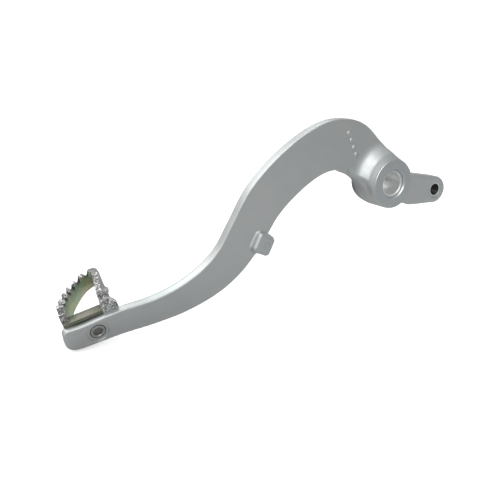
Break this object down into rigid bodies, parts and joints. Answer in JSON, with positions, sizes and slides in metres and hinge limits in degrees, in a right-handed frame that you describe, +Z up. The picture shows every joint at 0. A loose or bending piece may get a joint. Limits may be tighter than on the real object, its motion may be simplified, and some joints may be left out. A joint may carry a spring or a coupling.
{
  "type": "motorcycle rear brake pedal",
  "caption": "Forged rear brake pedal lever with a pressed pivot bush, a threaded linkage insert and a bolted toothed step, for a right-hand footrest side",
  "frame": {"origin": "on the axis of the pivot bush, at the middle of the boss's length", "axes": "+Y along the pivot bore, away from the frame side; -X towards the toothed foot end and +X towards the rear arm; +Z up"},
  "size_m": [0.2744, 0.0541, 0.1202],
  "materials": {
    "forged_alloy": "shot-blasted forging with a fine satin skin",
    "bush_steel": "fine bored sleeve",
    "black_steel": "black oxide thread",
    "plated_steel": "passivated zinc plate with an olive tint",
    "toothed_steel": "passivated zinc plate, cut teeth bright",
    "screw_steel": "zinc-plated socket head"
  },
  "bodies": {
    "root": {"lever": "forged_alloy", "pivot_bush": "bush_steel", "linkage_insert": "black_steel", "step_base": "plated_steel", "step_loop": "toothed_steel", "step_screw": "screw_steel"}
  },
  "joints": []
}
